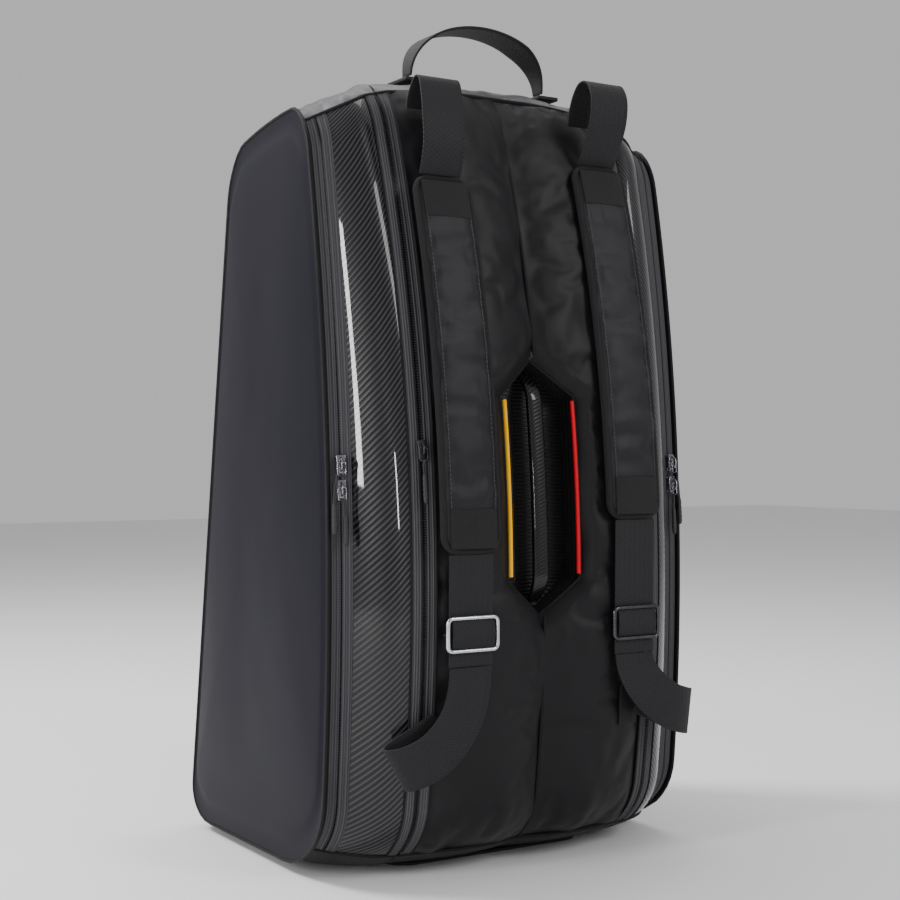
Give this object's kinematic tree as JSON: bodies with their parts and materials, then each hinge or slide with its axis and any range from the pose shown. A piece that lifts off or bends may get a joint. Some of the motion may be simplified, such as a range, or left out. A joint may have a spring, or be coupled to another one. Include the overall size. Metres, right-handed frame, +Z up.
{
  "type": "racket tournament bag",
  "caption": "Tall racket bag with zipped side compartments, a centre compartment, padded backpack straps and a webbing top handle.",
  "frame": {"origin": "on the floor under the bag, on its plane of symmetry, at the middle of the flat face of the base panel that the bag stands on", "axes": "+Z up, the shoulder straps face -Y, X is across the bag and X = 0 is the plane of symmetry"},
  "size_m": [0.4168, 0.3764, 0.807],
  "materials": {
    "side_fabric": "satin coated polyester",
    "lobe_fabric": "soft matt polyester over foam",
    "carbon_laminate": "glossy laminate with a carbon-look twill",
    "cap_fabric": "satin nylon",
    "zip_tape": "ribbed zip tape and coil",
    "base_fabric": "coarse coated base fabric",
    "lining": "smooth lining over foam board",
    "ribbed_fabric": "ribbed stretch fabric",
    "yellow_trim": "piping",
    "red_trim": "piping",
    "grip_laminate": "glossy padded grip with a carbon-look twill",
    "handle_webbing": "woven webbing",
    "strap_webbing": "woven webbing",
    "pad_fabric": "smooth strap fabric over foam with stitched binding",
    "piping_black": "piping",
    "slider_metal": "polished zinc",
    "slider_dark": "black lacquer",
    "pull_rubber": "moulded rubber on a cord",
    "buckle_metal": "polished zinc"
  },
  "bodies": {
    "root": {"base_panel": "base_fabric", "far_panel": "lobe_fabric", "centre_top_cap": "cap_fabric", "centre_bottom_cap": "base_fabric", "centre_divider": "lining", "recess_panel": "ribbed_fabric", "recess_rim": "ribbed_fabric", "yellow_piping": "yellow_trim", "red_piping": "red_trim", "centre_grip": "grip_laminate", "handle_tabs": "handle_webbing", "left_lobe": "lobe_fabric", "left_zip2_inner_tape": "zip_tape", "left_upper_webbing": "strap_webbing", "left_anchor_tab": "strap_webbing", "left_lower_webbing": "strap_webbing", "right_lobe": "lobe_fabric", "right_zip2_inner_tape": "zip_tape", "right_upper_webbing": "strap_webbing", "right_anchor_tab": "strap_webbing", "right_lower_webbing": "strap_webbing"},
    "top_handle": {"top_handle": "handle_webbing"},
    "left_compartment": {"left_zip2_outer_tape": "zip_tape", "left_carbon_panel": "carbon_laminate", "left_zip1_inner_tape": "zip_tape", "left_top_cap": "cap_fabric", "left_bottom_cap": "base_fabric", "left_far_gusset": "lobe_fabric", "left_partition": "lining"},
    "left_lid": {"left_side_panel": "side_fabric", "left_zip1_outer_tape": "zip_tape", "left_side_piping": "piping_black"},
    "left_strap": {"left_strap_pad": "pad_fabric", "left_adjuster_webbing": "strap_webbing"},
    "left_buckle": {"left_buckle": "buckle_metal"},
    "left_zip1_upper_slider": {"left_zip1_upper_slider": "slider_metal"},
    "left_zip1_lower_slider": {"left_zip1_lower_slider": "slider_metal"},
    "left_zip2_slider": {"left_zip2_slider": "slider_dark"},
    "left_zip1_upper_pull": {"left_zip1_upper_pull": "pull_rubber"},
    "left_zip1_lower_pull": {"left_zip1_lower_pull": "pull_rubber"},
    "left_zip2_pull": {"left_zip2_pull": "pull_rubber"},
    "right_compartment": {"right_zip2_outer_tape": "zip_tape", "right_carbon_panel": "carbon_laminate", "right_zip1_inner_tape": "zip_tape", "right_top_cap": "cap_fabric", "right_bottom_cap": "base_fabric", "right_far_gusset": "lobe_fabric", "right_partition": "lining"},
    "right_lid": {"right_side_panel": "side_fabric", "right_zip1_outer_tape": "zip_tape", "right_side_piping": "piping_black"},
    "right_strap": {"right_strap_pad": "pad_fabric", "right_adjuster_webbing": "strap_webbing"},
    "right_buckle": {"right_buckle": "buckle_metal"},
    "right_zip1_upper_slider": {"right_zip1_upper_slider": "slider_metal"},
    "right_zip1_lower_slider": {"right_zip1_lower_slider": "slider_metal"},
    "right_zip2_slider": {"right_zip2_slider": "slider_dark"},
    "right_zip1_upper_pull": {"right_zip1_upper_pull": "pull_rubber"},
    "right_zip1_lower_pull": {"right_zip1_lower_pull": "pull_rubber"},
    "right_zip2_pull": {"right_zip2_pull": "pull_rubber"}
  },
  "joints": [
    {"name": "top_handle_lean", "type": "hinge", "parent": "root", "child": "top_handle", "pos_m": [0, -0.045, 0.7528], "axis": [1, 0, 0], "range_deg": [-28, 28]},
    {"name": "left_compartment_hinge", "type": "hinge", "parent": "root", "child": "left_compartment", "pos_m": [-0.1285, 0.145, 0.3], "axis": [0, 0.1483, -0.9889], "range_deg": [0, 18]},
    {"name": "left_lid_hinge", "type": "hinge", "parent": "left_compartment", "child": "left_lid", "pos_m": [-0.1982, 0.145, 0.3], "axis": [0, 0.1483, -0.9889], "range_deg": [0, 26]},
    {"name": "left_zip1_upper_slide", "type": "hinge", "parent": "left_compartment", "child": "left_zip1_upper_slider", "pos_m": [-0.188, 1.981, 0.265], "axis": [-1, 0, 0], "range_deg": [0, 6.5]},
    {"name": "left_zip1_upper_pull_swing", "type": "hinge", "parent": "left_zip1_upper_slider", "child": "left_zip1_upper_pull", "pos_m": [-0.1903, -0.12344, 0.38161], "axis": [-0.9578, 0.2869, -0.0156], "range_deg": [0, 100]},
    {"name": "left_zip1_lower_slide", "type": "hinge", "parent": "left_compartment", "child": "left_zip1_lower_slider", "pos_m": [-0.188, 1.981, 0.265], "axis": [1, 0, 0], "range_deg": [0, 6.5]},
    {"name": "left_zip1_lower_pull_swing", "type": "hinge", "parent": "left_zip1_lower_slider", "child": "left_zip1_lower_pull", "pos_m": [-0.1903, -0.12454, 0.35953], "axis": [-0.9578, 0.2871, -0.0126], "range_deg": [0, 100]},
    {"name": "left_zip2_slide", "type": "hinge", "parent": "root", "child": "left_zip2_slider", "pos_m": [-0.1285, 1.1875, 0.265], "axis": [-1, 0, 0], "range_deg": [0, 9.5]},
    {"name": "left_zip2_pull_swing", "type": "hinge", "parent": "left_zip2_slider", "child": "left_zip2_pull", "pos_m": [-0.1302, -0.16409, 0.39493], "axis": [-0.9772, 0.2115, -0.02], "range_deg": [0, 100]},
    {"name": "left_strap_swing", "type": "hinge", "parent": "root", "child": "left_strap", "pos_m": [-0.092, -0.13031, 0.6405], "axis": [-1, 0, 0], "range_deg": [0, 14]},
    {"name": "left_buckle_slide", "type": "slide", "parent": "left_strap", "child": "left_buckle", "axis": [0, -0.01, 0.9999], "range_m": [-0.006, 0.04]},
    {"name": "right_compartment_hinge", "type": "hinge", "parent": "root", "child": "right_compartment", "pos_m": [0.1285, 0.145, 0.3], "axis": [0, -0.1483, 0.9889], "range_deg": [0, 18]},
    {"name": "right_lid_hinge", "type": "hinge", "parent": "right_compartment", "child": "right_lid", "pos_m": [0.1982, 0.145, 0.3], "axis": [0, -0.1483, 0.9889], "range_deg": [0, 26]},
    {"name": "right_zip1_upper_slide", "type": "hinge", "parent": "right_compartment", "child": "right_zip1_upper_slider", "pos_m": [0.188, 1.981, 0.265], "axis": [-1, 0, 0], "range_deg": [0, 6.5]},
    {"name": "right_zip1_upper_pull_swing", "type": "hinge", "parent": "right_zip1_upper_slider", "child": "right_zip1_upper_pull", "pos_m": [0.1903, -0.12344, 0.38161], "axis": [-0.9578, -0.2869, 0.0156], "range_deg": [0, 100]},
    {"name": "right_zip1_lower_slide", "type": "hinge", "parent": "right_compartment", "child": "right_zip1_lower_slider", "pos_m": [0.188, 1.981, 0.265], "axis": [1, 0, 0], "range_deg": [0, 6.5]},
    {"name": "right_zip1_lower_pull_swing", "type": "hinge", "parent": "right_zip1_lower_slider", "child": "right_zip1_lower_pull", "pos_m": [0.1903, -0.12454, 0.35953], "axis": [-0.9578, -0.2871, 0.0126], "range_deg": [0, 100]},
    {"name": "right_zip2_slide", "type": "hinge", "parent": "root", "child": "right_zip2_slider", "pos_m": [0.1285, 1.1875, 0.265], "axis": [-1, 0, 0], "range_deg": [0, 9.5]},
    {"name": "right_zip2_pull_swing", "type": "hinge", "parent": "right_zip2_slider", "child": "right_zip2_pull", "pos_m": [0.1302, -0.16409, 0.39493], "axis": [-0.9772, -0.2115, 0.02], "range_deg": [0, 100]},
    {"name": "right_strap_swing", "type": "hinge", "parent": "root", "child": "right_strap", "pos_m": [0.092, -0.12219, 0.6675], "axis": [-1, 0, 0], "range_deg": [0, 14]},
    {"name": "right_buckle_slide", "type": "slide", "parent": "right_strap", "child": "right_buckle", "axis": [0, -0.01, 0.9999], "range_m": [-0.006, 0.04]}
  ],
  "couplings": [
    {"joint": "left_zip1_upper_slide", "follows": "left_lid_hinge", "ratio": 0.25},
    {"joint": "left_zip1_lower_slide", "follows": "left_lid_hinge", "ratio": 0.25},
    {"joint": "left_zip2_slide", "follows": "left_compartment_hinge", "ratio": 0.5277},
    {"joint": "right_zip1_upper_slide", "follows": "right_lid_hinge", "ratio": 0.25},
    {"joint": "right_zip1_lower_slide", "follows": "right_lid_hinge", "ratio": 0.25},
    {"joint": "right_zip2_slide", "follows": "right_compartment_hinge", "ratio": 0.5277}
  ]
}
